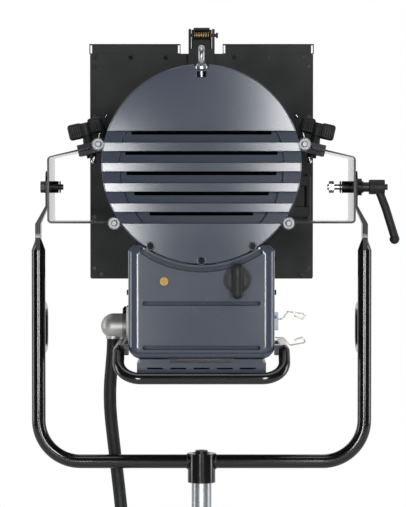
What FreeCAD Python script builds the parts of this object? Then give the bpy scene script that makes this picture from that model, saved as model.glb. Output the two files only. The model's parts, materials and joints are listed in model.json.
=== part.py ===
"""A 2.5 kW daylight fresnel spotlight in a tubular yoke, as separate pieces that come apart.

Millimetres. The origin is the root of the yoke's spigot, +Z is up, the lamp shines along +Y,
and +X is to the right of someone standing behind the lamp. The head tilts about a line along X
through the pivots, and slides along Y on four rods to balance.
"""
import FreeCAD, Part
import math
import os
from FreeCAD import Placement, Rotation, Vector

SIZES = {
    "pivot_height": 426, "drum_height": 457,
    "yoke_tube": 20, "yoke_wall": 2, "leg_reach": 235, "crossbar_height": 30, "yoke_bend": 60,
    "leg_top": 335, "boss_diameter": 40, "boss_height": 42, "spigot_diameter": 28.6,
    "spigot_length": 80, "loop_tube": 16, "loop_reach": 62,
    "bracket_sheet": 3, "bracket_reach": 218, "bracket_half_depth": 65,
    "arm_slope": 12.5, "arm_root": 468.6,
    "clamp_thick": 16, "clamp_depth": 60, "knob_reach": 160.5, "pivot_bolt": 8,
    "rod_diameter": 12, "rod_radius": 145, "rod_rear": -141, "rod_front": 118,
    "upper_rod_rise": 28, "lower_rod_drop": 81,
    "cover_radius": 137.5, "cover_rear": -163, "cover_front": -141, "eye_rear": -155,
    "eye_seat": 130.5, "louvre_pitch": 27.8,
    "louvre_recess": 16, "louvre_lip": 112, "slit_height": 5,
    "drum_radius": 132, "drum_wall": 2.5, "ring_radius": 150,
    "box_half_width": 101, "box_bottom": 189, "box_top": 346, "box_rear": -160, "box_front": 95,
    "box_wall": 4, "box_round": 14, "groove_depth": 7.5,
    "tray_half_width": 89, "tray_bottom": 166, "tray_top": 184, "handle_tube": 16,
    "handle_reach": 114, "handle_rear": -186, "handle_arm": 200, "handle_low": 165,
    "stud_side": 51.3, "stud_height": 296.5,
    "focus_side": 49.3, "focus_height": 299, "screw_lead": 16, "guide_side": 25,
    "guide_height": 304, "lens_radius": 125, "door_hinge_side": 158, "door_hinge_front": 120,
    "door_hinge_drop": 45,
    "flange_radius": 160, "plate_half_width": 167, "plate_half_height": 168.5,
    "plate_rear": 138.6, "plate_sheet": 2.4, "leaf_sheet": 1.6, "side_leaf_hinge": 146,
    "top_leaf_hinge": 151, "leaf_length": 146, "latch_pin_front": 126, "latch_pin_height": 652,
    "dome_diameter": 36, "dome_front": 35, "dome_height": 224, "cable_diameter": 18.5,
    "retainer_side": 147, "retainer_rise": 68, "catch_radius": 157, "catch_angle": 240,
}

doc = FreeCAD.newDocument("FresnelSpotlight")
sheet = doc.addObject("Spreadsheet::Sheet", "Sizes")
for row, (alias, size) in enumerate(SIZES.items(), 1):
    sheet.set(f"A{row}", alias)
    sheet.set(f"B{row}", str(size))
    sheet.setAlias(f"B{row}", alias)
doc.recompute()

X, Y, Z = Vector(1, 0, 0), Vector(0, 1, 0), Vector(0, 0, 1)
SIDES = (("left", -1), ("right", 1))
nodes = []


def size(alias):
    """A driving dimension, read back from the sheet."""
    return float(sheet.get(alias))


def bind(made, prop, value):
    """Set a property to a number, or to an expression on the sheet."""
    if isinstance(value, str):
        made.setExpression(prop, value)
    else:
        made.setExpression(prop, None)
        setattr(made, prop, value)


def aimed(at, axis, turn=0.0):
    """The placement that carries +Z onto axis, with its origin at a point."""
    return Placement(Vector(*at), Rotation(Z, Vector(*axis)) * Rotation(Z, turn))


# ---- Part primitives and booleans, bound to the sheet

def cylinder(radius, length, at, axis=Z):
    made = doc.addObject("Part::Cylinder", "Cylinder")
    bind(made, "Radius", radius)
    bind(made, "Height", length)
    made.Placement = aimed(at, axis)
    return made


def cone(radius, end_radius, length, at, axis=Z):
    made = doc.addObject("Part::Cone", "Cone")
    bind(made, "Radius1", radius)
    bind(made, "Radius2", end_radius)
    bind(made, "Height", length)
    made.Placement = aimed(at, axis)
    return made


def sphere(radius, at):
    made = doc.addObject("Part::Sphere", "Sphere")
    bind(made, "Radius", radius)
    made.Placement = Placement(Vector(*at), Rotation())
    return made


def torus(radius, tube_radius, at, axis=Z):
    made = doc.addObject("Part::Torus", "Torus")
    bind(made, "Radius1", radius)
    bind(made, "Radius2", tube_radius)
    made.Placement = aimed(at, axis)
    return made


def box(low, high, turn=None, about=(0, 0, 0)):
    """A box between two corners, turned by a Rotation about a point if one is given."""
    made = doc.addObject("Part::Box", "Box")
    for prop, a, b in zip(("Length", "Width", "Height"), low, high):
        setattr(made, prop, b - a)
    corner, about = Vector(*low), Vector(*about)
    turn = turn or Rotation()
    made.Placement = Placement(about + turn.multVec(corner - about), turn)
    return made


def cut(base, *tools):
    made = doc.addObject("Part::Cut", "Cut")
    made.Base = base
    made.Tool = tools[0] if len(tools) == 1 else fuse(*tools)
    return made


def fuse(*pieces):
    if len(pieces) == 1:
        return pieces[0]
    made = doc.addObject("Part::MultiFuse", "Fuse")
    made.Shapes = list(pieces)
    made.Refine = True
    return made


def common(one, other):
    made = doc.addObject("Part::MultiCommon", "Common")
    made.Shapes = [one, other]
    return made


def free_form(shape):
    """A Part::Feature for a shape that Part's own functions make."""
    made = doc.addObject("Part::Feature", "FreeForm")
    made.Shape = shape
    return made


def node(label, *pieces):
    """Name a sub-part. Several pieces stay separate solids in one node."""
    if len(pieces) == 1:
        made = pieces[0]
    else:
        made = doc.addObject("Part::Compound", "Group")
        made.Links = list(pieces)
    made.Label = label
    nodes.append(made)
    return made


# ---- PartDesign bodies

def plane(body, role):
    return next(o for o in body.Origin.OriginFeatures if o.Role == role)


def outline(corners):
    """The lines and arcs of a closed outline. A corner is (u, v) or (u, v, radius)."""
    spots = [Vector(c[0], c[1], 0) for c in corners]
    radii = [c[2] if len(c) > 2 else 0.0 for c in corners]
    ends, arcs = [], []
    for i, (spot, radius) in enumerate(zip(spots, radii)):
        before, after = spots[i - 1], spots[(i + 1) % len(spots)]
        if not radius:
            ends.append((spot, spot))
            arcs.append(None)
            continue
        back, ahead = (before - spot).normalize(), (after - spot).normalize()
        half = back.getAngle(ahead) / 2
        start = spot + back * (radius / math.tan(half))
        end = spot + ahead * (radius / math.tan(half))
        middle = spot + (back + ahead).normalize() * (radius / math.sin(half) - radius)
        ends.append((start, end))
        arcs.append(Part.Arc(start, middle, end))
    edges = []
    for i, (start, _) in enumerate(ends):
        leave = ends[i - 1][1]
        if (start - leave).Length > 1e-6:
            edges.append(Part.LineSegment(leave, start))
        if arcs[i]:
            edges.append(arcs[i])
    return edges


def rectangle(low_u, low_v, high_u, high_v, radius=0.0):
    corners = ((low_u, low_v), (high_u, low_v), (high_u, high_v), (low_u, high_v))
    return outline([(*c, radius) for c in corners])


def circle(u, v, radius):
    return [Part.Circle(Vector(u, v, 0), Vector(0, 0, 1), radius)]


def new_body(label):
    body = doc.addObject("PartDesign::Body", "Body")
    body.Label = label
    return body


def sketch(body, role, edges, offset=0.0):
    made = body.newObject("Sketcher::SketchObject", "Outline")
    made.AttachmentSupport = [(plane(body, role), "")]
    made.MapMode = "FlatFace"
    made.AttachmentOffset = Placement(Vector(0, 0, offset), Rotation())
    made.addGeometry(edges, False)
    return made


def pad(body, role, edges, low, high):
    """Pad an outline from low to high along the plane's axis (Y for the XZ plane)."""
    drawn = sketch(body, role, edges, -high if role == "XZ_Plane" else low)
    made = body.newObject("PartDesign::Pad", "Pad")
    made.Profile = drawn
    made.Length = high - low
    return made


def pocket(body, role, edges, low, high):
    """Cut an outline away between low and high along the plane's axis."""
    doc.recompute()
    before = body.Shape.Volume
    drawn = sketch(body, role, edges, -low if role == "XZ_Plane" else high)
    made = body.newObject("PartDesign::Pocket", "Pocket")
    made.Profile = drawn
    made.Length = high - low
    doc.recompute()
    if body.Shape.Volume > before - 1e-3:
        raise ValueError(f"{body.Label}: a pocket from {low} to {high} cuts nothing")
    return made


def turned(label, edges):
    """A body turned from an outline in (Y, radius) about the drum's axis."""
    body = new_body(label)
    made = body.newObject("PartDesign::Revolution", "Turned")
    made.Profile = drawn = sketch(body, "YZ_Plane", edges)
    made.ReferenceAxis = (drawn, ["H_Axis"])
    made.Angle = 360.0
    body.setExpression("Placement.Base.z", "Sizes.drum_height")
    return body


# ---- round bars and cords along straight runs and tangent arcs

def path(points, radii):
    """A wire of straight runs joined by tangent arcs, one radius for each inner point."""
    spots = [Vector(*p) for p in points]
    edges, last = [], spots[0]
    for before, spot, after, radius in zip(spots, spots[1:], spots[2:], radii):
        back, ahead = (before - spot).normalize(), (after - spot).normalize()
        half = back.getAngle(ahead) / 2
        start = spot + back * (radius / math.tan(half))
        end = spot + ahead * (radius / math.tan(half))
        middle = spot + (back + ahead).normalize() * (radius / math.sin(half) - radius)
        if (start - last).Length > 1e-6:
            edges.append(Part.LineSegment(last, start).toShape())
        edges.append(Part.Arc(start, middle, end).toShape())
        last = end
    edges.append(Part.LineSegment(last, spots[-1]).toShape())
    return Part.Wire(edges)


def swept(route, radius):
    start = route.Edges[0].valueAt(route.Edges[0].FirstParameter)
    ahead = route.Edges[0].tangentAt(route.Edges[0].FirstParameter)
    ring = Part.Wire(Part.Circle(start, ahead, radius).toShape())
    shell = Part.BRepOffsetAPI.MakePipeShell(route)
    shell.add(ring)
    shell.build()
    shell.makeSolid()
    return shell.shape()


def bar(points, bend, radius, inner=0.0):
    """A bent round bar, or a tube if it has an inner radius."""
    route = path(points, [bend] * (len(points) - 2))
    solid = swept(route, radius)
    return solid.cut(swept(route, inner)) if inner else solid


def cord_radii(points):
    """Each arc of a cord is as large as its two runs allow."""
    spots = [Vector(*p) for p in points]
    radii = []
    for before, spot, after in zip(spots, spots[1:], spots[2:]):
        turn = math.pi - (before - spot).getAngle(after - spot)
        shorter = min((spot - before).Length, (after - spot).Length)
        radii.append(0.45 * shorter / math.tan(turn / 2))
    return radii


PIVOT = size("pivot_height")
DRUM = size("drum_height")


def socket_screw(head_radius, head, at, axis, shank_radius=0.0, shank=0.0):
    """A cap screw: its head stands along axis, its shank runs the other way."""
    axis = Vector(*axis)
    key = cylinder(head_radius * 0.45, head * 0.6, Vector(*at) + axis * head * 0.5, axis)
    made = cut(cylinder(head_radius, head, at, axis), key)
    if shank:
        made = fuse(made, cylinder(shank_radius, shank, Vector(*at) - axis * shank, axis))
    return made


# ---- the yoke, its spigot and its grip loops

def yoke():
    reach, low, bend = size("leg_reach"), size("crossbar_height"), size("yoke_bend")
    tube, top = size("yoke_tube") / 2, size("leg_top")
    corners = [(-reach, 0, top), (-reach, 0, low), (reach, 0, low), (reach, 0, top)]
    solid = swept(path(corners, [bend, bend]), tube)
    hollow = swept(path(corners, [bend, bend]), tube - size("yoke_wall"))
    neck_low, neck_high, jog, tip, depth = top + 18, 373, 399, 449, 14
    pieces = [solid]
    for _, side in SIDES:
        ring = Part.Wire(Part.Circle(Vector(side * reach, 0, top), Z, tube).toShape())
        flat = [Vector(side * reach + x, y, neck_low)
                for x, y in ((-3.8, -13), (3.8, -13), (3.8, 13), (-3.8, 13))]
        neck = Part.makeLoft([ring, Part.makePolygon(flat + flat[:1])], True)
        pieces.append(neck)
        profile = [(reach + 3.8, neck_low), (reach + 3.8, neck_high), (224, jog), (224, tip),
                   (220, tip), (220, jog), (reach - 3.8, neck_high), (reach - 3.8, neck_low)]
        wall = Part.makePolygon([Vector(side * x, -depth, z) for x, z in profile + profile[:1]])
        tab = Part.Face(wall).extrude(Y * depth * 2)
        # the tab's end is a half round about a point just above the pivot
        keep = Part.makeBox(60, 2 * depth, tip - depth - neck_low,
                            Vector(side * reach - 30, -depth, neck_low))
        keep = keep.fuse(Part.makeCylinder(depth, 60, Vector(side * reach - 30, 0, tip - depth), X))
        hole = Part.makeCylinder(size("pivot_bolt") / 2 + 0.1, 60,
                                 Vector(side * reach - 30, 0, PIVOT), X)
        pieces.append(tab.common(keep).cut(hole))
    solid = pieces[0].multiFuse(pieces[1:]).cut(hollow)
    boss = Part.makeCylinder(size("boss_diameter") / 2, size("boss_height") + 2, Vector(0, 0, -1))
    node("yoke_tube", free_form(solid.cut(boss).removeSplitter()))


def spigot_group():
    body = new_body("spigot_boss")
    radius, top = size("boss_diameter") / 2, size("boss_height")
    made = pad(body, "XY_Plane", circle(0, 0, radius), 0, top)
    made.setExpression("Length", "Sizes.boss_height")
    pocket(body, "XY_Plane", circle(0, 0, 13), top - 6, top)
    pocket(body, "XY_Plane", circle(0, 0, 6.2), 0, top)
    node("spigot_boss", body)
    shank = cylinder("Sizes.spigot_diameter / 2", "Sizes.spigot_length", (0, 0, -size("spigot_length")))
    neck = cut(cylinder(16, 12, (0, 0, -52)), cylinder(12, 12, (0, 0, -52)))
    tip = cut(cylinder(16, 3, (0, 0, -80)), cone(11.3, 14.3, 3, (0, 0, -80)))
    bore = cylinder(5.1, 60, (0, 0, -60))
    node("spigot", cut(shank, neck, tip, bore))
    bolt = socket_screw(9, 9, (0, 0, top - 5), (0, 0, 1), 5, 60)
    node("spigot_bolt", fuse(bolt, cylinder(11.5, 1, (0, 0, top - 6))))


def grip_loops():
    reach, low, high = size("loop_reach"), 190, 253
    loops = []
    for _, side in SIDES:
        x = side * 233
        points = [(x, 0, low), (x, reach, low), (x, reach, high), (x, 0, high)]
        loop = bar(points, 20, size("loop_tube") / 2, size("loop_tube") / 2 - 2)
        leg = Part.makeCylinder(size("yoke_tube") / 2, 200, Vector(side * size("leg_reach"), 0, 120))
        ahead = Part.makeBox(40, 100, 200, Vector(x - 20, 0, 120))
        loops.append(free_form(loop.common(ahead).cut(leg)))
    node("grip_loops", *loops)


# ---- the tilting frame: brackets, pivots, clamps

def arm_line():
    """Where the sloping arm's middle starts, outside, and its direction inwards."""
    slope = math.radians(size("arm_slope"))
    start = Vector(size("bracket_reach") - size("bracket_sheet") / 2, 0, size("arm_root"))
    return start, Vector(-math.cos(slope), 0, math.sin(slope))


def mirrored(vector, side):
    return Vector(side * vector.x, vector.y, vector.z)


def side_brackets():
    thick, depth = size("bracket_sheet"), size("bracket_half_depth")
    start, inward = arm_line()
    square = Vector(inward.z, 0, -inward.x)
    reach = size("bracket_reach")
    tip = start + inward * ((start.x - 156) / -inward.x)
    rod_x = math.sqrt(size("rod_radius") ** 2 - size("lower_rod_drop") ** 2)
    low = DRUM - size("lower_rod_drop")
    upper_in = start - square * thick / 2
    for name, side in SIDES:
        corners = [
            (reach, low - thick / 2, 6), (reach, start.z, 6),
            (tip.x + square.x * thick / 2, tip.z + square.z * thick / 2),
            (tip.x - square.x * thick / 2, tip.z - square.z * thick / 2),
            (reach - thick, upper_in.z + 0.4, 3), (reach - thick, low + thick / 2, 3),
            (rod_x + 7.5, low + thick / 2), (rod_x + 7.5, low - thick / 2),
        ]
        body = new_body(f"bracket_blank_{name}")
        pad(body, "XZ_Plane", outline([(side * c[0], *c[1:]) for c in corners]), -depth, depth)
        ends = sorted((side * (reach - thick - 1), side * (reach + 1)))
        pocket(body, "YZ_Plane", circle(0, PIVOT, size("pivot_bolt") / 2 + 0.1), *ends)
        doc.recompute()
        stud = cylinder(4.1, 30, mirrored(stud_base(-15), side), mirrored(square_up(), side))
        node(f"side_bracket_{name}", cut(body, stud))


def square_up():
    """The direction square to the sloping arm, upwards."""
    slope = math.radians(size("arm_slope"))
    return Vector(math.sin(slope), 0, math.cos(slope))


def stud_base(rise):
    """The point on the clamp stud's axis that is rise above the arm's middle."""
    start, inward = arm_line()
    on_arm = start + inward * ((start.x - size("knob_reach")) / -inward.x)
    return on_arm + square_up() * rise


def clamps():
    thick, depth = size("clamp_thick"), size("clamp_depth")
    rod_x = math.sqrt(size("rod_radius") ** 2 - size("upper_rod_rise") ** 2)
    rod_z = DRUM + size("upper_rod_rise")
    low_x = math.sqrt(size("rod_radius") ** 2 - size("lower_rod_drop") ** 2)
    low_z = DRUM - size("lower_rod_drop")
    made = []
    for _, side in SIDES:
        turn = Rotation(Y, side * size("arm_slope"))
        middle = Vector(side * rod_x, 0, rod_z)
        ends = sorted((middle.x - side * 5, middle.x + side * 35))
        block = box((ends[0], -depth / 2, middle.z - thick / 2),
                    (ends[1], depth / 2, middle.z + thick / 2), turn, middle)
        split = sorted((middle.x, middle.x + side * 60))
        on_arm = mirrored(stud_base(0), side)
        slit = box((split[0], -depth, on_arm.z - 1.7), (split[1], depth, on_arm.z + 1.7), turn, on_arm)
        rod = cylinder("Sizes.rod_diameter / 2 + 0.05", 200, (side * rod_x, -100, rod_z), Y)
        stud_hole = cylinder(4.1, 60, mirrored(stud_base(-30), side), mirrored(square_up(), side))
        made.append(cut(block, rod, slit, stud_hole))
        sleeve = cylinder(8.5, depth, (side * low_x, -depth / 2, low_z), Y)
        lower_rod = cylinder("Sizes.rod_diameter / 2 + 0.05", 200, (side * low_x, -100, low_z), Y)
        seat = sorted((side * (low_x + 7.5), side * 200))
        arm = box((seat[0], -100, low_z - 1.5), (seat[1], 100, low_z + 1.5))
        made.append(cut(sleeve, lower_rod, arm))
    node("rod_clamps", *made)


def wing_knobs():
    """Two-lobed clamping knobs on the clamp studs."""
    for name, side in SIDES:
        up = mirrored(square_up(), side)
        stem = cone(8, 6.4, 12, mirrored(stud_base(8.6), side), up)
        stud = fuse(cylinder(4, 19, mirrored(stud_base(-9.5), side), up),
                    cylinder(7, 4.5, mirrored(stud_base(-13), side), up))
        top = mirrored(stud_base(21), side)
        turn = Rotation(Y, side * size("arm_slope"))
        hub = cylinder(9, 18.5, mirrored(stud_base(19.5), side), up)
        lobes = []
        for way in (-1, 1):
            wing = box((0, 0, 0), (21, 13, 23))
            wing.Placement = Placement(
                top + turn.multVec(Vector(way * 15 - 10.5, -6.5, -3 - side * way * 1.5)), turn)
            lobes.append(rounded(wing, 4.5))
        node(f"wing_knob_{name}", fuse(stem, hub, stud, *lobes))


def rounded(piece, radius):
    """Round every edge of a box."""
    made = doc.addObject("Part::Fillet", "Rounded")
    made.Base = piece
    doc.recompute()
    made.Edges = [(n + 1, radius, radius) for n in range(len(piece.Shape.Edges))]
    return made


def pivots():
    """The tilt pivots: a plain bolt on the left, a stud with the locking lever on the right."""
    r = size("pivot_bolt") / 2
    # right: nut, washer, hub, bracket, yoke end, friction disc, spacer, lever
    node("pivot_stud", fuse(cylinder(r, 74, (181, 0, PIVOT), X), hexagon(8.5, 6.8, (183.5, 0, PIVOT), X)))
    rings = [(12.2, 6, 224.4), (8.5, 1.6, 199), (8.5, 12.8, 202.1), (8.5, 1.6, 218.2),
             (8.5, 1.6, -219.8), (8.5, 9, -214.9), (8.5, 1.6, -204.4)]
    node("pivot_spacers", *[
        cut(cylinder(radius, thick, (x, 0, PIVOT), X), cylinder(r + 0.1, thick, (x, 0, PIVOT), X))
        for radius, thick, x in rings])
    node("pivot_bolt_left", fuse(hexagon(8.3, 6, (-231.7, 0, PIVOT), X),
                                 cylinder(9, 1.6, (-225.7, 0, PIVOT), X),
                                 cylinder(r, 27, (-226, 0, PIVOT), X)))


def hexagon(radius, thick, at, axis):
    made = doc.addObject("Part::Prism", "Hexagon")
    made.Polygon = 6
    made.Circumradius = radius
    made.Height = thick
    made.Placement = aimed(at, axis)
    return made


def tilt_lever():
    """A clamping lever: a threaded insert on the stud, and a handle that lifts and turns on it."""
    insert = fuse(cylinder(7, 24, (231, 0, PIVOT), X), cylinder(8.3, 2, (231, 0, PIVOT), X))
    screw = socket_screw(4.2, 3.6, (264.2, 0, PIVOT), (1, 0, 0), 2.4, 9.2)
    node("lever_insert", fuse(cut(insert, cylinder(4.05, 27, (228, 0, PIVOT), X)), screw))
    hub = fuse(cone(10, 10.6, 1.5, (241, 0, PIVOT), X), cylinder(10.6, 21, (242.5, 0, PIVOT), X))
    bore = fuse(cylinder(7.2, 14.8, (240.8, 0, PIVOT), X), cylinder(2.6, 12, (254, 0, PIVOT), X),
                cylinder(4.6, 9, (258.5, 0, PIVOT), X))
    arm = path([(255, 0, PIVOT - 4), (265, 0, PIVOT - 30), (279, 0, PIVOT - 75)], [60])
    shape = swept(arm, 6).fuse(Part.makeSphere(7.2, Vector(278, 0, PIVOT - 75)))
    node("lever_handle", cut(fuse(hub, free_form(shape)), bore))


# ---- the head: cover, drum, box, rods

def rear_cover():
    """The crowned round cover, with five louvre rows across it. Each row's floor slopes back upwards."""
    radius, rear, front = size("cover_radius"), size("cover_rear"), size("cover_front")
    back = rear + 15
    crown = Part.Arc(Vector(rear, 0.01, 0), Vector(rear + 0.9, 66, 0), Vector(rear + 3.5, radius - 1.6, 0))
    rest = [(rear + 3.5, radius - 1.6), (rear + 5.3, radius), (front, radius), (front, radius - 3.2),
            (back, radius - 3.2), (back, 0.01), (rear, 0.01)]
    lines = [Part.LineSegment(Vector(*a, 0), Vector(*b, 0)) for a, b in zip(rest, rest[1:])]
    body = turned("rear_cover_blank", [crown] + lines)
    core = cylinder(0.5, 14, (0, rear + 0.2, DRUM), Y)
    rows, lips, slits = [], [], []
    pitch, recess = size("louvre_pitch"), size("louvre_recess")
    for row in range(5):
        top = DRUM + 46.0 - row * pitch
        half = math.sqrt(size("louvre_lip") ** 2 - max(abs(top - DRUM), abs(top - recess - DRUM)) ** 2)
        rows.append(wedge((rear - 2, rear + 6), (rear - 2, rear + 9), top - recess, top))
        lips.append(wedge((rear, rear + 9.5), (rear, rear + 12.5), top - recess, top))
        slits.append(box((6 - half, rear, top - size("slit_height")), (half - 6, rear + 20, top)))
    lip = size("louvre_lip")
    well = common(fuse(*lips), cone(lip + 3.4, lip - 1.6, 10, (0, rear + 4, DRUM), Y))
    # the lifting eye's spot face, its hole, and a window on its shank
    y, seat = size("eye_rear"), DRUM + size("eye_seat")
    eye_room = [cylinder(10.6, 20, (0, y, seat), Z), cylinder(4.05, 30, (0, y, seat - 20), Z),
                box((-6.5, rear - 5, seat - 11), (6.5, y + 4, seat - 3))]
    holes = [cylinder(3.2, 30, (x, rear - 5, z), Y) for x, z in cover_screw_places()]
    shell = cut(fuse(body, core), *rows, well, *slits, *eye_room, *holes)
    seats = []
    for x, z in cover_screw_places():
        ring = cut(cylinder(6.1, 10, (x, rear + 2.4, z), Y), cylinder(4.6, 5, (x, rear + 2.3, z), Y),
                   cylinder(3.2, 12, (x, rear + 2, z), Y))
        seats.append(ring)
    node("rear_cover", fuse(cut(shell, *[cylinder(5, 10.3, (x, rear - 3, z), Y)
                                         for x, z in cover_screw_places()]), *seats))


def wedge(low_ends, high_ends, low, high):
    """A prism along X whose depth runs evenly from low_ends at its foot to high_ends at its top."""
    corners = [(low_ends[0], low), (low_ends[1], low), (high_ends[1], high), (high_ends[0], high)]
    points = [Vector(-150, y, z) for y, z in corners + corners[:1]]
    return free_form(Part.Face(Part.makePolygon(points)).extrude(X * 300))


def cover_screw_places():
    turns = [math.radians(a) for a in (-90 - 32, -90, -90 + 32)]
    reach = size("cover_radius") - 5.5
    return [(reach * math.cos(a), DRUM + reach * math.sin(a)) for a in turns]


def rod_places():
    rise, drop, radius = size("upper_rod_rise"), size("lower_rod_drop"), size("rod_radius")
    upper, lower = math.sqrt(radius ** 2 - rise ** 2), math.sqrt(radius ** 2 - drop ** 2)
    return [(side * upper, DRUM + rise) for _, side in SIDES] + [
        (side * lower, DRUM - drop) for _, side in SIDES]


def drum_and_rings():
    radius, wall = size("drum_radius"), size("drum_wall")
    rear, front = -133, 105
    body = turned("drum_blank", rectangle(rear, radius - wall, front, radius))
    window = box((-60, -125, DRUM - radius - 5), (60, 88, DRUM - 80))
    vents = []
    for side in (-1, 1):
        for row in range(3):
            turn = Rotation(Y, side * (28 + 9 * row))
            for start in (-118, -40, 38):
                vents.append(box((-1.6, start, DRUM + radius - 8), (1.6, start + 58, DRUM + radius + 5),
                                 turn, (0, 0, DRUM)))
    node("drum_shell", cut(body, window, *vents))
    # the rear ring carries the cover and the rods' rear ends
    ring = cylinder(136, 8, (0, -141, DRUM), Y)
    ears = [cylinder(9, 8, (x, -141, z), Y) for x, z in rod_places()]
    holes = [cylinder(6.05, 10, (x, -142, z), Y) for x, z in rod_places()]
    bolts = [cylinder(2.5, 10, (x, -142, z), Y) for x, z in cover_screw_places()]
    bore = cylinder(121, 12, (0, -143, DRUM), Y)
    node("rear_ring", cut(fuse(ring, *ears), bore, *holes, *bolts))
    # the light trap's own slots stand behind the cover's bars, so nothing shows through
    trap = cylinder(120.5, 1.5, (0, -137, DRUM), Y)
    gaps = [box((-88, -139, DRUM + 46 - row * size("louvre_pitch") - 24),
                (88, -134, DRUM + 46 - row * size("louvre_pitch") - 18.5)) for row in range(-1, 4)]
    node("light_trap", cut(trap, *gaps))
    ring = cylinder("Sizes.ring_radius", 13, (0, 105, DRUM), Y)
    ears = [cylinder(9, 13, (x, 105, z), Y) for x, z in rod_places()]
    holes = [cylinder(6.05, 20, (x, 102, z), Y) for x, z in rod_places()]
    bore = cylinder(128, 20, (0, 102, DRUM), Y)
    hinge_x, hinge_y = size("door_hinge_side"), size("door_hinge_front")
    lugs = []
    middle = DRUM - size("door_hinge_drop")
    for low in (middle - 30, middle + 16):
        lugs.append(box((128, 106, low), (hinge_x, hinge_y - 3, low + 14)))
        lugs.append(cylinder(5, 14, (hinge_x, hinge_y, low), Z))
    # the door's own knuckle has room to turn between the ring's two
    room = cylinder(6, 31.4, (hinge_x, hinge_y, middle - 15.7), Z)
    x, z = catch_place()
    lugs += [cylinder(5, 22, (x, 105, z), Y), cylinder(3, 24.6, (x, 105, z), Y),
             cylinder(9, 13, (x * 0.96, 105, DRUM + (z - DRUM) * 0.96), Y)]
    hinge_pin = cylinder(2.5, 66, (hinge_x, hinge_y, middle - 33), Z)
    node("front_ring", fuse(cut(fuse(ring, *ears, *lugs), bore, *holes, room), hinge_pin))
    washers = [cut(cylinder(7.4, 2, (x, -143, z), Y), cylinder(5.6, 1.2, (x, -143, z), Y))
               for x, z in rod_places()]
    heads = [fuse(cylinder(4.2, 3.4, (x, -145.4, z), Y), cone(3.2, 4.2, 0.8, (x, -146.2, z), Y))
             for x, z in rod_places()]
    rods = [cylinder("Sizes.rod_diameter / 2", 259, (x, -141, z), Y) for x, z in rod_places()]
    node("slide_rods", *rods, *[fuse(*pair) for pair in zip(washers, heads)])


def lower_box():
    half, low, high = size("box_half_width"), size("box_bottom"), size("box_top")
    rear, front, wall = size("box_rear"), size("box_front"), size("box_wall")
    body = new_body("lower_box_blank")
    edge = [(-half, high - 7.5), (-half, low, 18), (half, low, 18), (half, high - 7.5),
            (half - 7.5, high), (-half + 7.5, high)]
    pad(body, "XZ_Plane", outline(edge), rear, front)
    doc.recompute()
    soft = doc.addObject("Part::Fillet", "RearEdge")
    soft.Base = body
    rim = [n + 1 for n, e in enumerate(body.Shape.Edges)
           if all(abs(v.Point.y - rear) < 1e-6 for v in e.Vertexes) and e.BoundBox.YLength < 1e-6
           and e.BoundBox.ZMin < high - 1]
    soft.Edges = [(n, size("box_round"), size("box_round")) for n in rim]
    inner = box((-half + wall, rear + 10, low + wall), (half - wall, front + 1, high - wall))
    shelf = cylinder(146, 28, (0, rear - 1, DRUM), Y)
    hollow = cut(inner, shelf)
    seat = cylinder(138.3, 28.2, (0, rear - 1, DRUM), Y)
    drum = cylinder("Sizes.drum_radius + 0.1", 260, (0, rear, DRUM), Y)
    groove = cut(cylinder(148, size("groove_depth"), (0, rear, DRUM), Y),
                 cylinder(141.5, size("groove_depth"), (0, rear, DRUM), Y))
    arc = common(groove, box((-84, rear, 250), (84, rear + 20, DRUM - 112)))
    bars = []
    for z in (266, 205):
        bars.append(box((-78, rear - 1, z - 3), (78, rear + size("groove_depth"), z + 3)))
        bars += [cylinder(3, size("groove_depth") + 1, (x, rear - 1, z), Y) for x in (-78, 78)]
    shaft = cylinder(4.3, 30, (size("focus_side"), rear - 2, size("focus_height")), Y)
    stud = cylinder(3.05, 30, (-size("stud_side"), rear - 2, size("stud_height")), Y)
    outlet = cylinder(12, 20, (-half - 5, size("dome_front"), size("dome_height")), X)
    ears = rod_clearance()
    node("lower_box", cut(soft, hollow, seat, drum, arc, *bars, shaft, stud, outlet, *ears))
    plate = box((-half + wall + 0.2, front - 3, low + wall + 0.2),
                (half - wall - 0.2, front - 1, high - wall - 0.2))
    panel = cut(plate, cylinder("Sizes.drum_radius + 0.3", 9, (0, front - 5, DRUM), Y))
    x, z = size("focus_side"), size("focus_height")
    bearing = box((x - 11, 78, z - 11), (x + 11, front - 2, z + 11))
    node("box_front_panel", cut(fuse(panel, bearing), cylinder(3.65, 14.6, (x, 76, z), Y)))
    x, z = -size("stud_side"), size("stud_height")
    node("earth_stud", cut(fuse(cylinder(5.9, 4, (x, rear - 4, z), Y), cylinder(3, 16, (x, rear - 1, z), Y)),
                           box((x - 4.3, rear - 5, z - 0.7), (x + 4.3, rear - 2.6, z + 0.7)),
                           box((x - 0.7, rear - 5, z - 4.3), (x + 0.7, rear - 2.6, z + 4.3))))


def rod_clearance():
    """Room in the box for the rear ring's lower ears and their rods."""
    return [cylinder(9.4, 20, (x, -152, z), Y) for x, z in rod_places()[2:]]


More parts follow.
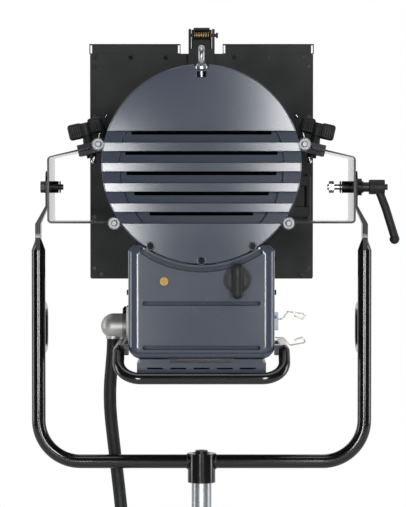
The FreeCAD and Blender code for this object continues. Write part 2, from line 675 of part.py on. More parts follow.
def tray_and_handle():
    half, low, high = size("tray_half_width"), size("tray_bottom"), size("tray_top")
    rear, front = -152, 92
    body = new_body("base_tray_blank")
    pad(body, "XZ_Plane", rectangle(-half, low, half, high), rear, front)
    inside = rectangle(-half + 1.5, rear + 1.5, half - 1.5, front - 1.5)
    pocket(body, "XY_Plane", inside, low + 1.5, high - 1.5)
    for n in range(5):
        x = (n - 2) * 32
        pocket(body, "XZ_Plane", rectangle(x - 11, 175, x + 11, 177), rear, rear + 1.5)
        for y in (-110, -80, -50, -20, 10, 40):
            pocket(body, "XY_Plane", rectangle(x - 11, y - 1.5, x + 11, y + 1.5), low, low + 1.5)
    strips = [box((min(s * 44, s * 85), rear, high), (max(s * 44, s * 85), rear + 10, high + 5))
              for s in (-1, 1)]
    feet = [cylinder(6, 5, (x, y, high), Z) for x in (-70, 70) for y in (-120, 60)]
    node("base_tray", fuse(body, *strips, *feet))
    reach, tube = size("handle_reach"), size("handle_tube") / 2
    back, bottom, arm = size("handle_rear"), size("handle_low"), size("handle_arm")
    points = [(-reach, -4, arm), (-reach, back + 40, arm), (-reach, back, bottom),
              (reach, back, bottom), (reach, back + 40, arm), (reach, -4, arm)]
    route = path(points, [18, 31, 31, 18])
    grip = swept(route, tube).cut(swept(route, tube - 1.8))
    plugs = [cylinder(tube, 3, (side * reach, -4, arm), Y) for _, side in SIDES]
    node("rear_handle", fuse(free_form(grip), *plugs))
    plates = []
    for _, side in SIDES:
        ends = sorted((side * 101, side * (reach - 6)))
        for y in (-122, -30):
            plate = box((ends[0], y - 12, arm - 7), (ends[1], y + 12, arm + 7))
            plates.append(cut(plate, cylinder("Sizes.handle_tube / 2 + 0.02", 40,
                                              (side * reach, y - 20, arm), Y)))
    node("handle_brackets", *plates)


def head_screws():
    """The head's black cap screws: cover, box sides, and the cable outlet's flange."""
    rear, half = size("cover_rear") + 7.3, size("box_half_width")
    y, z = size("dome_front"), size("dome_height")
    cover = [socket_screw(4.2, 4.6, (x, rear, up), (0, -1, 0), 2.4, 18) for x, up in cover_screw_places()]
    flanks = [socket_screw(3.6, 2.6, (side * half, along, up), (side, 0, 0))
              for side in (-1, 1) for up in (326, 280) for along in (-128, 70)]
    outlet = [socket_screw(4, 5, (-half - 8, y + a * 23, z + b * 23), (-1, 0, 0))
              for a in (-1, 1) for b in (-1, 1)]
    node("head_screws", *cover, *flanks, *outlet)


def eyebolt():
    """The lifting eye for a safety bond, upright in the cover's top edge."""
    seat = Vector(0, size("eye_rear"), DRUM + size("eye_seat"))
    collar = fuse(cylinder(10, 3.5, seat, Z), cone(9, 5.5, 4, seat + Z * 3.5, Z))
    # the ring stands in the YZ plane
    ring = torus(11, 4.2, seat + Z * 18, X)
    node("eyebolt", fuse(collar, ring, cylinder(4, 18, seat - Z * 18, Z)))


def focus_knob():
    x, z, rear = size("focus_side"), size("focus_height"), size("box_rear")
    base = fuse(cylinder(18, 6.5, (x, rear - 7, z), Y), cylinder(14.6, 12, (x, rear - 12.5, z), Y))
    grip = rounded(box((x - 6.8, rear - 27, z - 26), (x + 6.8, rear - 8, z + 22.5)), 6)
    blank = cut(fuse(base, grip), cylinder(4.05, 10, (x, rear - 9, z), Y),
                box((x - 30, rear - 0.5, z - 30), (x + 30, rear + 20, z + 30)))
    node("focus_knob", blank)
    shaft = fuse(cylinder(4, 24, (x, rear - 9, z), Y), cylinder(5, 214, (x, rear + 14, z), Y),
                 cylinder(3.6, 22, (x, rear + 228, z), Y))
    node("lead_screw", shaft)


def lamp_carriage():
    x, z = size("focus_side"), size("focus_height")
    guide, height = size("guide_side"), size("guide_height")
    body = box((-40, -24, height - 16), (x + 12, 24, height + 8))
    bores = [cylinder("4.05", 60, (side * guide, -30, height), Y) for side in (-1, 1)]
    nut = cylinder(5.06, 60, (x, -30, z), Y)
    node("carriage_block", cut(body, *bores, nut))
    node("guide_rods", *[cylinder(4, 242, (side * guide, -150, height), Y) for side in (-1, 1)])
    post = fuse(box((-18, -10, height + 8), (18, 10, 404)), box((-6, -62, 378), (6, -10, 384)),
                box((-6, -66, 378), (6, -62, 398)))
    node("lamp_socket", fuse(post, cylinder(19, 8, (0, 0, 404), Z),
                             box((-30, -12, 412), (30, 12, 422)),
                             cylinder(4, 12, (-19, 0, 420), Z), cylinder(4, 12, (19, 0, 420), Z)))
    envelope = cut(fuse(sphere(17, (0, 0, DRUM)), cylinder(15.6, 24, (0, 0, DRUM - 30), Z)),
                   box((-30, -30, DRUM - 60), (30, 30, DRUM - 25)))
    base = fuse(box((-26, -9, 432), (26, 9, 440)), cylinder(3, 14, (0, 0, DRUM + 15), Z))
    node("lamp", fuse(cut(envelope, cylinder(2, 2, (0, 0, DRUM + 16), Z)), base))
    bowl = cut(sphere(72, (0, 0, DRUM)), sphere(70.5, (0, 0, DRUM)))
    cap = common(bowl, cylinder(60, 50, (0, -85, DRUM), Y))
    node("reflector", cut(cap, box((-6.1, -66.1, 370), (6.1, -61.9, 398.1))))
    node("ignitor_box", rounded(box((-92, -96, 197), (-44, 66, 272)), 3))


def connector():
    half, y, z = size("box_half_width"), size("dome_front"), size("dome_height")
    flange = box((-half - 8, y - 28.5, z - 28.5), (-half, y + 28.5, z + 28.5))
    step = cylinder(20, 8, (-half - 14, y, z), X)
    radius = size("dome_diameter") / 2
    bend_x, flange_face = -half - 27.5, -half - 14
    nose = Part.Arc(Vector(bend_x - radius, y, z), Vector(bend_x - radius * math.cos(0.8), y,
                                                          z + radius * math.sin(0.8)),
                    Vector(bend_x, y, z + radius)).toShape()
    rest = Part.makePolygon([Vector(bend_x, y, z + radius), Vector(flange_face, y, z + radius),
                             Vector(flange_face, y, z), Vector(bend_x - radius, y, z)])
    dome = free_form(Part.Face(Part.Wire([nose] + rest.Edges)).revolve(Vector(bend_x, y, z), X, 360))
    mouth = cylinder(10.8, 18.6, (bend_x, y, z - 18.6), Z)
    bore = cylinder("Sizes.cable_diameter / 2 + 0.02", 20, (bend_x, y, z - 22), Z)
    node("dome_connector", cut(fuse(dome, mouth), bore))
    node("connector_flange", cut(fuse(flange, step), cylinder(11, 20, (-half - 18, y, z), X)))


CABLE = [
    (-128.5, 35, 222), (-128.5, 35, 196), (-131, 36.5, 166), (-134, 39, 134), (-133.5, 42.5, 98),
    (-129.5, 46, 60), (-125, 47.5, 20), (-120, 46.5, -22), (-115.5, 43.5, -66), (-114, 40, -110),
    (-115.5, 37.5, -154), (-118.5, 36, -194), (-119.5, 35.6, -222), (-119.5, 35.6, -246),
]


def cable():
    """The head's lead, hanging from the elbow in front of the crossbar to its coupler."""
    route = path(CABLE, cord_radii(CABLE))
    solid = swept(route, size("cable_diameter") / 2)
    node("head_cable", free_form(solid))
    x, y, z = CABLE[-1]
    boot = cut(cone(18, 11.5, 34, (x, y, z - 16), Z),
               cylinder("Sizes.cable_diameter / 2 + 0.02", 60, (x, y, z), Z))
    shell = cut(cylinder(25, 84, (x, y, z - 100), Z), cylinder(21.5, 3, (x, y, z - 100), Z))
    node("coupler_shell", fuse(boot, shell, cylinder(26.5, 6, (x, y, z - 30), Z)))
    node("coupler_ring", cut(cylinder(28, 22, (x, y, z - 96), Z), cylinder(25.02, 30, (x, y, z - 100), Z)))


def wire_clips():
    """Two sprung wire hooks on the box's right side, and a small blank tag."""
    half = size("box_half_width")
    upper = [(half, 12, 235), (117, 12, 235), (125, 12, 246), (151, 12, 242), (146, 12, 234.6),
             (134, 12, 240)]
    lower = [(half, 12, 208), (118, 12, 208), (128, 12, 197), (151, 12, 201), (146, 12, 209),
             (134, 12, 204)]
    node("wire_hooks", free_form(bar(upper, 2.2, 1)), free_form(bar(lower, 2.2, 1)))
    node("hook_tag", box((half, -8, 220), (half + 9.5, -5.6, 246)))


# ---- the lens door, its latch and retainers

def lens_door():
    front_ring_face = 118.4
    inner, outer = size("lens_radius") - 5, size("ring_radius")
    seat = size("lens_radius") + 0.6
    edge = [(front_ring_face, seat), (front_ring_face, outer), (127, outer), (127, inner),
            (124, inner), (124, seat)]
    body = turned("door_blank", outline(edge))
    hinge_x, hinge_y = size("door_hinge_side"), size("door_hinge_front")
    middle = DRUM - size("door_hinge_drop")
    knuckle = cylinder(5, 30.6, (hinge_x, hinge_y, middle - 15.3), Z)
    lug = box((134, front_ring_face, middle - 15.3), (hinge_x, 124, middle + 15.3))
    pin = cylinder(2.55, 70, (hinge_x, hinge_y, middle - 35), Z)
    seat_lug = box((-20, front_ring_face, DRUM + 140), (20, 127, DRUM + 155))
    lugs = [seat_lug]
    for _, side in SIDES:
        x, z = side * size("retainer_side"), DRUM + size("retainer_rise")
        lugs.append(cylinder(6, 2.6, (x, front_ring_face, z), Y))
        lugs.append(cylinder(9, 2.6, (x * 0.93, front_ring_face, DRUM + (z - DRUM) * 0.93), Y))
    lugs = cut(fuse(*lugs), cylinder(145, 20, (0, 112, DRUM), Y))
    hoop = cut(body, cylinder("Sizes.lens_radius + 0.6", 10, (0, 114, DRUM), Y))
    steps = [(113, 0.01), (113, size("lens_radius")), (123.9, size("lens_radius"))]
    rings = 12
    width = (size("lens_radius") - 6) / rings
    for n in range(rings):
        outer_r = size("lens_radius") - 6 - n * width
        if n == 0:
            steps.append((123.9, outer_r))
            steps.append((118.6, outer_r))
        steps.append((122.0, outer_r - width + (0.02 if n == rings - 1 else 0)))
        if n < rings - 1:
            steps.append((118.6, outer_r - width))
    node("fresnel_lens", turned("fresnel_lens", outline(steps)))
    node("lens_retainer", cut(cylinder(126.5, 2.4, (0, 110.6, DRUM), Y),
                              cylinder(119, 4, (0, 110, DRUM), Y)))
    ears = []
    profile = [(126.5, 145), (126.5, 149.5), (127, 149.5), (127, 164.5), (137, 164.5),
               (137, 156.5), (134.4, 156.5), (134.4, 160.6), (129.6, 160.6), (129.6, 145)]
    whole = turned("ear_blank", outline(profile))
    for angle in (0, 180, 270):
        ears.append(common(whole, wedge_about(angle, 13)))
    node("lens_door", cut(fuse(hoop, knuckle, lug, lugs, *ears), pin))


def wedge_about(angle, half):
    """A long wedge about the drum's axis, to keep an arc of a turned piece."""
    a, b = math.radians(angle - half), math.radians(angle + half)
    points = [Vector(0, 100, DRUM)] + [
        Vector(260 * math.cos(t), 100, DRUM + 260 * math.sin(t)) for t in (a, b)]
    return free_form(Part.Face(Part.makePolygon(points + points[:1])).extrude(Y * 60))


def latch():
    y, z = size("latch_pin_front"), size("latch_pin_height")
    foot = DRUM + 155
    cheeks = []
    for side in (-1, 1):
        ends = sorted((side * 15.5, side * 19.5))
        cheeks.append(cut(box((ends[0], 118.6, foot), (ends[1], 134, z + 9)),
                          cylinder(161, 10, (0, 129.4, DRUM), Y)))
    web = box((-19.5, 118.6, foot), (19.5, 121.6, 632))
    floor = box((-19.5, 118.6, foot), (19.5, 127, foot + 3))
    pin = fuse(cylinder(2.5, 43.5, (-19.5, y, z), X), cylinder(4, 3, (21.5, y, z), X))
    node("latch_bracket", fuse(*cheeks, web, floor, pin))
    arms = [box((min(s * 12.5, s * 15), y - 5, z - 6), (max(s * 12.5, s * 15), 136, z + 6))
            for s in (-1, 1)]
    tongue = box((-15, 133.6, 620), (15, 136, z + 9))
    pawl = box((-15, 128.5, 620), (15, 136, 626))
    thumb = box((-12, y - 6, z + 8), (12, 136, z + 11))
    node("top_latch", cut(fuse(*arms, tongue, pawl, thumb), cylinder(2.6, 60, (-30, y, z), X)))
    coil = [torus(5.2, 1.15, (x, y, z), X) for x in [-10.2 + 2.55 * n for n in range(9)]]
    node("latch_spring", *coil)


def retainers():
    """Wire levers with ball ends that hold an accessory at the door's sides."""
    for name, side in SIDES:
        x, z = side * size("retainer_side"), DRUM + size("retainer_rise")
        y = 122.7
        boss = cylinder(5, 4.4, (x, 121.3, z), Y)
        wire = bar([(x - side * 6, y, z + 8), (x, y, z), (x + side * 6, y, z - 26),
                    (x + side * 14.5, y, z - 60)], 3, 1.2)
        node(f"retainer_{name}", fuse(boss, free_form(wire), sphere(3.3, (x + side * 14.5, y, z - 61))))


def door_catch():
    """A turning catch on the front ring, shown released, that holds the lens door shut."""
    x, z = catch_place()
    plate = fuse(box((x - 6, 127.3, z - 26), (x + 6, 129.6, z)), cylinder(6, 2.3, (x, 127.3, z), Y))
    node("door_catch", cut(plate, cylinder(3.05, 20, (x, 115, z), Y)))


def catch_place():
    angle = math.radians(size("catch_angle"))
    return size("catch_radius") * math.cos(angle), DRUM + size("catch_radius") * math.sin(angle)


# ---- the barn doors

def barndoor():
    rear, thick = size("plate_rear"), size("plate_sheet")
    wide, tall = size("plate_half_width"), size("plate_half_height")
    ring = [(130, 151), (130, size("flange_radius")), (134, size("flange_radius")), (134, 155),
            (rear, 155), (rear, 151)]
    node("barndoor_ring", turned("barndoor_ring", outline(ring)))
    body = new_body("plate_blank")
    pad(body, "XZ_Plane", rectangle(-wide, DRUM - tall, wide, DRUM + tall, 3), rear, rear + thick)
    pocket(body, "XZ_Plane", circle(0, DRUM, 136), rear, rear + thick)
    pocket(body, "XZ_Plane", rectangle(-16.5, DRUM + 150, 16.5, DRUM + tall + 2), rear, rear + thick)
    side_y, top_y = size("side_leaf_hinge"), size("top_leaf_hinge")
    webs = []
    for side in (-1, 1):
        for n in range(-4, 5, 2):
            z = DRUM + n * 28
            x = side * (wide - 4)
            webs.append(box((x - 1, rear + thick, z - 13.5), (x + 1, side_y, z + 13.5)))
            webs.append(cylinder(3, 27, (x, side_y, z - 13.5), Z))
            z = DRUM + side * (tall - 4)
            if abs(n) > 0 or side < 0:
                webs.append(box((n * 28 - 13.5, rear + thick, z - 1), (n * 28 + 13.5, top_y, z + 1)))
                webs.append(cylinder(3, 27, (n * 28 - 13.5, top_y, z), X))
    pins = [cylinder(1.3, 300, (s * (wide - 4), side_y, DRUM - 150), Z) for s in (-1, 1)]
    pins += [cylinder(1.3, 300, (-150, top_y, DRUM + s * (tall - 4)), X) for s in (-1, 1)]
    guards = []
    for side in (-1, 1):
        ends = sorted((side * 31.6, side * 168))
        block = box((ends[0], rear, DRUM + tall - 0.5), (ends[1], rear + 8, DRUM + tall + 14.5))
        room = box((ends[0] + 1.2, rear - 1, DRUM + tall - 1),
                   (ends[1] - 1.2, rear + 6.8, DRUM + tall + 12.8))
        gaps = [box((x, rear + 6, DRUM + tall + 1), (x + 2.6, rear + 9, DRUM + tall + 12.8))
                for x in (ends[0] + 1.2, ends[1] - 3.8)]
        back = box((ends[0] + 4, rear + 1, DRUM + tall - 0.5), (ends[1] - 4, rear + 7, DRUM + tall + 12.9))
        guards.append(fuse(cut(block, room, *gaps), back))
    node("barndoor_plate", cut(fuse(body, *webs, *guards), *pins))
    screws = [(s * 160.5, DRUM + z) for s in (-1, 1) for z in (150, 75, -76, -153)]
    screws += [(x, DRUM + 162.5) for x in (-158, -106, -54, 49, 101, 153)]
    screws += [(s * 150, DRUM - 162) for s in (-1, 1)]
    node("barndoor_pins",
         *[cylinder(1.2, 252, (s * (wide - 4), side_y, DRUM - 126), Z) for s in (-1, 1)],
         *[cylinder(1.2, 252, (-126, top_y, DRUM + s * (tall - 4)), X) for s in (-1, 1)],
         *[cylinder(3.4, 1.1, (x, rear - 1.1, z), Y) for x, z in screws])
    leaves()


def leaves():
    """Four leaves, standing forward. The side pair fold in first, and the other pair over them."""
    wide, tall = size("plate_half_width") - 4, size("plate_half_height") - 4
    sheet_half, length = size("leaf_sheet") / 2, size("leaf_length")
    for name, side in SIDES:
        y = size("side_leaf_hinge")
        x = side * wide
        blank = box((x - sheet_half, y + 2, DRUM - 134), (x + sheet_half, y + length, DRUM + 134))
        hem = box((x - 1.6, y + length - 6, DRUM - 134), (x + 1.6, y + length, DRUM + 134))
        tubes = [cylinder(3, 27, (x, y, DRUM + n * 28 - 13.5), Z) for n in (-3, -1, 1, 3)]
        roots = [box((x - sheet_half, y, DRUM + n * 28 - 13.5), (x + sheet_half, y + 6, DRUM + n * 28 + 13.5))
                 for n in (-3, -1, 1, 3)]
        rooms = [cylinder(3.6, 28.6, (x, y, DRUM + n * 28 - 14.3), Z) for n in (-4, -2, 0, 2, 4)]
        hole = cylinder(1.3, 300, (x, y, DRUM - 150), Z)
        node(f"leaf_{name}", cut(fuse(cut(fuse(blank, hem), *rooms), *tubes, *roots), hole))
    for name, side in (("bottom", -1), ("top", 1)):
        y = size("top_leaf_hinge")
        z = DRUM + side * tall
        blank = box((-150, y + 2, z - sheet_half), (150, y + length, z + sheet_half))
        hem = box((-150, y + length - 6, z - 1.6), (150, y + length, z + 1.6))
        tubes = [cylinder(3, 27, (n * 28 - 13.5, y, z), X) for n in (-3, -1, 1, 3)]
        roots = [box((n * 28 - 13.5, y, z - sheet_half), (n * 28 + 13.5, y + 6, z + sheet_half))
                 for n in (-3, -1, 1, 3)]
        rooms = [cylinder(3.6, 28.6, (n * 28 - 14.3, y, z), X) for n in (-4, -2, 0, 2, 4)]
        hole = cylinder(1.3, 300, (-150, y, z), X)
        node(f"leaf_{name}", cut(fuse(cut(fuse(blank, hem), *rooms), *tubes, *roots), hole))


for make in (yoke, spigot_group, grip_loops, side_brackets, clamps, wing_knobs, pivots, tilt_lever,
             rear_cover, drum_and_rings, lower_box, tray_and_handle, head_screws, eyebolt, focus_knob,
             lamp_carriage, connector, cable, wire_clips, lens_door, latch, retainers, door_catch,
             barndoor):
    make()

doc.recompute()
broken = [o.Label for o in doc.Objects if {"Invalid", "Error"} & set(o.State)]
broken += [o.Label for o in nodes if o.Shape.isNull() or not o.Shape.isValid()]
if broken:
    raise RuntimeError(f"failed: {broken}")
os.makedirs("parts", exist_ok=True)
for made in nodes:
    made.Shape.exportStep(f"parts/{made.Label}.step")
print(len(nodes), "nodes")
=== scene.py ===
"""The fresnel spotlight's looks: materials, small details, the head lead, light and camera."""
import json
import math
import bpy
import bmesh
from mathutils import Matrix, Vector


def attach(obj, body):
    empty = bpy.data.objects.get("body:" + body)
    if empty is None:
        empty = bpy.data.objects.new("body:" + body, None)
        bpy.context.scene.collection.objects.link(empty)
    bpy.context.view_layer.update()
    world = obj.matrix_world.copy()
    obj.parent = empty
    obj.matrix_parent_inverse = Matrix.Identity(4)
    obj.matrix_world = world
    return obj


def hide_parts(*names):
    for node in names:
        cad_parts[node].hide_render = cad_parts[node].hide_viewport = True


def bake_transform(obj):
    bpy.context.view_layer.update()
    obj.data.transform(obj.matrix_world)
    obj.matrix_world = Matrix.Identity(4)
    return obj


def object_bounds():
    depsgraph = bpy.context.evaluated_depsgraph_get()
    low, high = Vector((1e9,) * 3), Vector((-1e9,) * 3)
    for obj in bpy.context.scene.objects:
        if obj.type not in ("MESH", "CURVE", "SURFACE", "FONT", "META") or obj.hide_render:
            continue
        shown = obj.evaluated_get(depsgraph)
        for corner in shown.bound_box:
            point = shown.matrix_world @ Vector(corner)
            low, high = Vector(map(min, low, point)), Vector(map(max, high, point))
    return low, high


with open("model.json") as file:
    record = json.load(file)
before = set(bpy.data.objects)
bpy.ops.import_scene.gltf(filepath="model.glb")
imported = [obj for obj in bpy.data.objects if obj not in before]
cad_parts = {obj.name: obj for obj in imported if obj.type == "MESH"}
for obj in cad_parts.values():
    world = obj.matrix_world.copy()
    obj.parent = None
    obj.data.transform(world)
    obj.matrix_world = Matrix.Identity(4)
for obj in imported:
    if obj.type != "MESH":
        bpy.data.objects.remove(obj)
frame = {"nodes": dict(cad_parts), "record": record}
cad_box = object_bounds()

NODES = frame["nodes"]
MM = 0.001


# ---- materials

class Shader:
    """A node material, built up step by step round one Principled shader."""

    def __init__(self, name, color, rough, metallic=0.0):
        self.material = bpy.data.materials.new(name)
        self.material.use_nodes = True
        self.tree = self.material.node_tree
        self.main = self.tree.nodes["Principled BSDF"]
        self.color, self.rough = color, rough
        self.main.inputs["Base Color"].default_value = (*color, 1)
        self.main.inputs["Roughness"].default_value = rough
        self.main.inputs["Metallic"].default_value = metallic
        self.place = self.node("ShaderNodeTexCoord").outputs["Object"]
        self.tint = None
        self.height = None

    def node(self, kind, **settings):
        made = self.tree.nodes.new(kind)
        for key, value in settings.items():
            setattr(made, key, value)
        return made

    def link(self, out, into):
        self.tree.links.new(out, into)

    def stretched(self, scale):
        mapping = self.node("ShaderNodeMapping")
        mapping.inputs["Scale"].default_value = scale
        self.link(self.place, mapping.inputs["Vector"])
        return mapping.outputs["Vector"]

    def noise(self, scale, detail=4.0, stretch=None, rough=0.55):
        made = self.node("ShaderNodeTexNoise")
        made.inputs["Scale"].default_value = scale
        made.inputs["Detail"].default_value = detail
        made.inputs["Roughness"].default_value = rough
        self.link(self.stretched(stretch) if stretch else self.place, made.inputs["Vector"])
        return made.outputs["Fac"]

    def spread(self, value, low, high, to_low, to_high):
        made = self.node("ShaderNodeMapRange")
        for socket, number in zip(("From Min", "From Max", "To Min", "To Max"),
                                  (low, high, to_low, to_high)):
            made.inputs[socket].default_value = number
        self.link(value, made.inputs["Value"])
        return made.outputs["Result"]

    def tinted(self, amount, color):
        """Mix a second colour in where amount is high."""
        mix = self.node("ShaderNodeMix", data_type="RGBA")
        self.link(amount, mix.inputs["Factor"])
        if self.tint:
            self.link(self.tint, mix.inputs["A"])
        else:
            mix.inputs["A"].default_value = (*self.color, 1)
        mix.inputs["B"].default_value = (*color, 1)
        self.tint = mix.outputs["Result"]
        self.link(self.tint, self.main.inputs["Base Color"])

    def rougher(self, value):
        self.link(value, self.main.inputs["Roughness"])

    def bumpy(self, value, distance, strength=1.0):
        made = self.node("ShaderNodeBump")
        made.inputs["Distance"].default_value = distance
        made.inputs["Strength"].default_value = strength
        self.link(value, made.inputs["Height"])
        if self.height:
            self.link(self.height, made.inputs["Normal"])
        self.height = made.outputs["Normal"]
        self.link(self.height, self.main.inputs["Normal"])

    def soft_edges(self, radius):
        """Round the look of sharp edges, under whatever bump follows."""
        made = self.node("ShaderNodeBevel", samples=4)
        made.inputs["Radius"].default_value = radius
        self.height = made.outputs["Normal"]
        self.link(self.height, self.main.inputs["Normal"])

    def sheltered(self, distance):
        """1 in the open, towards 0 deep in a groove."""
        made = self.node("ShaderNodeAmbientOcclusion", samples=6)
        made.inputs["Distance"].default_value = distance
        return made.outputs["AO"]

    def painted_groove_shade(self, distance, color):
        """Painted shade: a dark colour and a weaker reflection where the surface is sheltered."""
        deep = self.sheltered(distance)
        self.tinted(self.spread(deep, 0.2, 0.62, 0.85, 0.0), color)
        self.link(self.spread(deep, 0.2, 0.62, 0.05, 0.5), self.main.inputs["Specular IOR Level"])

    def painted_shade_y_faces(self, color):
        """Painted shade: a near black colour on every face whose normal runs along Y."""
        split = self.node("ShaderNodeSeparateXYZ")
        self.link(self.node("ShaderNodeTexCoord").outputs["Normal"], split.inputs["Vector"])
        size = self.node("ShaderNodeMath", operation="ABSOLUTE")
        self.link(split.outputs["Y"], size.inputs[0])
        # painted shade: faces whose normal runs along Y turn near black
        faces_along_y = self.spread(size.outputs[0], 0.6, 0.9, 0.0, 1.0)
        self.tinted(faces_along_y, color)
        return self

    def set(self, **values):
        for socket, number in values.items():
            self.main.inputs[socket.replace("_", " ")].default_value = number
        return self


def enamel(name, color, rough, worn, chips=0.0):
    """Stoved paint: faint orange peel, handling marks, and, where chips is above 0, chips and
    painted shade in grooves and recesses.
    """
    s = Shader(name, color, rough)
    s.soft_edges(0.0011)
    s.tinted(s.spread(s.noise(5, 2), 0.2, 0.8, 0.0, 0.3), [c * 0.85 for c in color])
    if chips:
        spots = s.noise(620, 2, rough=0.7)
        patches = s.spread(s.noise(16, 3), 0.56, 0.68, 0.0, 1.0)
        both = s.node("ShaderNodeMath", operation="MULTIPLY", use_clamp=True)
        s.link(s.spread(spots, 0.70, 0.74, 0.0, 1.0), both.inputs[0])
        s.link(patches, both.inputs[1])
        gain = s.node("ShaderNodeMath", operation="MULTIPLY", use_clamp=True)
        s.link(both.outputs[0], gain.inputs[0])
        gain.inputs[1].default_value = chips
        s.tinted(gain.outputs[0], worn)
        # painted shade: grooves, slits and screw seats get darker and less glossy the more sheltered
        # they are
        s.painted_groove_shade(0.0075, [c * 0.1 for c in color])
    s.rougher(s.spread(s.noise(11, 2), 0.2, 0.8, rough - 0.01, rough + 0.03))
    s.bumpy(s.noise(900, 2), 0.00004 if chips else 0.00001, 0.5)
    return s


def sheet_black():
    s = Shader("black_sheet_paint", (0.0062, 0.0072, 0.0078), 0.5)
    s.set(Specular_IOR_Level=0.22)
    s.soft_edges(0.0004)
    s.tinted(s.spread(s.noise(6, 3), 0.2, 0.8, 0.0, 0.4), (0.0085, 0.0095, 0.0102))
    scuffs = s.noise(45, 5, stretch=(1.0, 1.0, 6.0))
    s.tinted(s.spread(scuffs, 0.72, 0.85, 0.0, 0.25), (0.05, 0.05, 0.05))
    s.rougher(s.spread(s.noise(18, 3), 0.2, 0.8, 0.46, 0.58))
    s.bumpy(s.noise(1600, 2), 0.00005, 0.6)
    return s


def metal(name, color, rough, brushed=None, darker=0.75):
    s = Shader(name, color, rough, 1.0)
    s.soft_edges(0.0004)
    s.tinted(s.spread(s.noise(40, 5), 0.4, 0.75, 0.0, 0.6), [c * darker for c in color])
    grain = s.noise(260, 4, stretch=brushed) if brushed else s.noise(420, 3)
    s.rougher(s.spread(grain, 0.3, 0.75, max(rough - 0.04, 0.03), rough + 0.06))
    s.bumpy(grain, 0.000008, 0.5)
    return s


def moulded(name, color, rough, grain=1300, depth=0.00009):
    s = Shader(name, color, rough)
    s.soft_edges(0.0008)
    s.tinted(s.spread(s.noise(22, 5), 0.45, 0.8, 0.0, 0.5), [c * 1.7 for c in color])
    s.rougher(s.spread(s.noise(80, 4), 0.3, 0.7, rough - 0.08, rough + 0.1))
    s.bumpy(s.noise(grain, 2), depth, 0.7)
    return s


BLUE = (0.041, 0.051, 0.072)
GLOSS_BLACK = (0.003, 0.003, 0.0035)
LOOKS = {
    "blue_grey_paint": enamel("housing_enamel", BLUE, 0.155, (0.3, 0.32, 0.36), 0.9),
    "blue_enamel": enamel("blue_dot_enamel", (0.02, 0.16, 0.55), 0.35, (0.4, 0.4, 0.4)),
    "gloss_black_tube": enamel("gloss_black_enamel", GLOSS_BLACK, 0.13, (0.1, 0.1, 0.1)),
    "black_sheet": sheet_black(),
    "chromed_steel": metal("zinc_bright", (0.36, 0.38, 0.4), 0.3, darker=0.7),
    "dull_zinc": metal("zinc_dull", (0.115, 0.12, 0.125), 0.3, darker=0.6),
    "dark_steel": metal("black_oxide", (0.03, 0.03, 0.033), 0.4),
    "bracket_aluminium": metal("satin_sheet", (0.62, 0.62, 0.61), 0.17, (1.0, 12.0, 1.0), 0.9)
    # painted shade on the bracket faces that look along Y
    .painted_shade_y_faces((0.012, 0.012, 0.013)),
    "black_anodised": metal("black_anodised_metal", (0.018, 0.018, 0.02), 0.42),
    "black_plastic": moulded("moulded_black", (0.0075, 0.008, 0.0085), 0.5)
    .set(Specular_IOR_Level=0.22),
    # near-total black for the light trap: a black part, darkened further as painted shade for the
    # dark inside behind the louvre slits
    "dead_black": moulded("trap_shade_black", (0.0012, 0.0011, 0.001), 0.9)
    .set(Specular_IOR_Level=0.02),
    "screw_black": moulded("screw_black", (0.003, 0.003, 0.0035), 0.2, 600, 0.00001)
    .set(Specular_IOR_Level=0.12),
    "plain_aluminium": metal("mill_aluminium", (0.45, 0.46, 0.47), 0.38, (1.0, 1.0, 14.0), 0.85),
    "satin_silver": metal("blasted_silver", (0.46, 0.46, 0.45), 0.5),
    "cast_flange": metal("cast_flange", (0.26, 0.26, 0.255), 0.5),
    "brass": metal("turned_brass", (0.135, 0.087, 0.028), 0.36, darker=0.7),
    "spring_steel": metal("spring_wire", (0.34, 0.25, 0.12), 0.32),
    "pale_wire": metal("pale_wire", (0.5, 0.46, 0.4), 0.3, darker=0.9),
    "silver_wire": metal("bright_wire", (0.55, 0.56, 0.57), 0.2),
    "white_tag": moulded("white_card", (0.55, 0.58, 0.64), 0.5, 700, 0.00003),
    "ceramic": moulded("lamp_ceramic", (0.62, 0.6, 0.55), 0.5, 900, 0.00005),
    "black_rubber": moulded("cable_rubber", (0.0035, 0.0043, 0.0045), 0.5, 900, 0.0001)
    .set(Specular_IOR_Level=0.25),
}
# pieces whose finish differs from the rest of their slot
OWN_LOOK = {
    "wire_hooks": "pale_wire", "lens_retainer": "pale_wire", "light_trap": "dead_black",
    "slide_rods": "dull_zinc", "head_screws": "screw_black", "connector_flange": "cast_flange",
    "barndoor_pins": "screw_black", "front_ring": "black_sheet", "yoke_tube": "yoke_enamel",
}


def yoke_enamel():
    """The tube's gloss black, with painted shade on the flattened ends above the legs, where the
    reflection is cut to almost nothing.
    """
    s = enamel("yoke_enamel", GLOSS_BLACK, 0.13, (0.1, 0.1, 0.1))
    split = s.node("ShaderNodeSeparateXYZ")
    s.link(s.node("ShaderNodeNewGeometry").outputs["Position"], split.inputs["Vector"])
    # painted shade: above z 0.36 the enamel reflects almost nothing
    s.link(s.spread(split.outputs["Z"], 0.352, 0.36, 0.5, 0.06), s.main.inputs["Specular IOR Level"])
    return s


def glass():
    s = Shader("pressed_glass", (0.9, 0.94, 0.95), 0.05)
    s.set(Transmission_Weight=0.9, IOR=1.5)
    s.rougher(s.spread(s.noise(90, 3), 0.3, 0.7, 0.03, 0.09))
    s.bumpy(s.noise(60, 3), 0.0001, 0.25)
    return s


LOOKS["clear_glass"] = glass()
LOOKS["yoke_enamel"] = yoke_enamel()


def paint(piece, look):
    piece.data.materials.clear()
    piece.data.materials.append(LOOKS[look].material)


for entry in frame["record"]["subparts"]:
    paint(NODES[entry["node"]], OWN_LOOK.get(entry["node"], entry["material_slot"]))


# ---- pieces

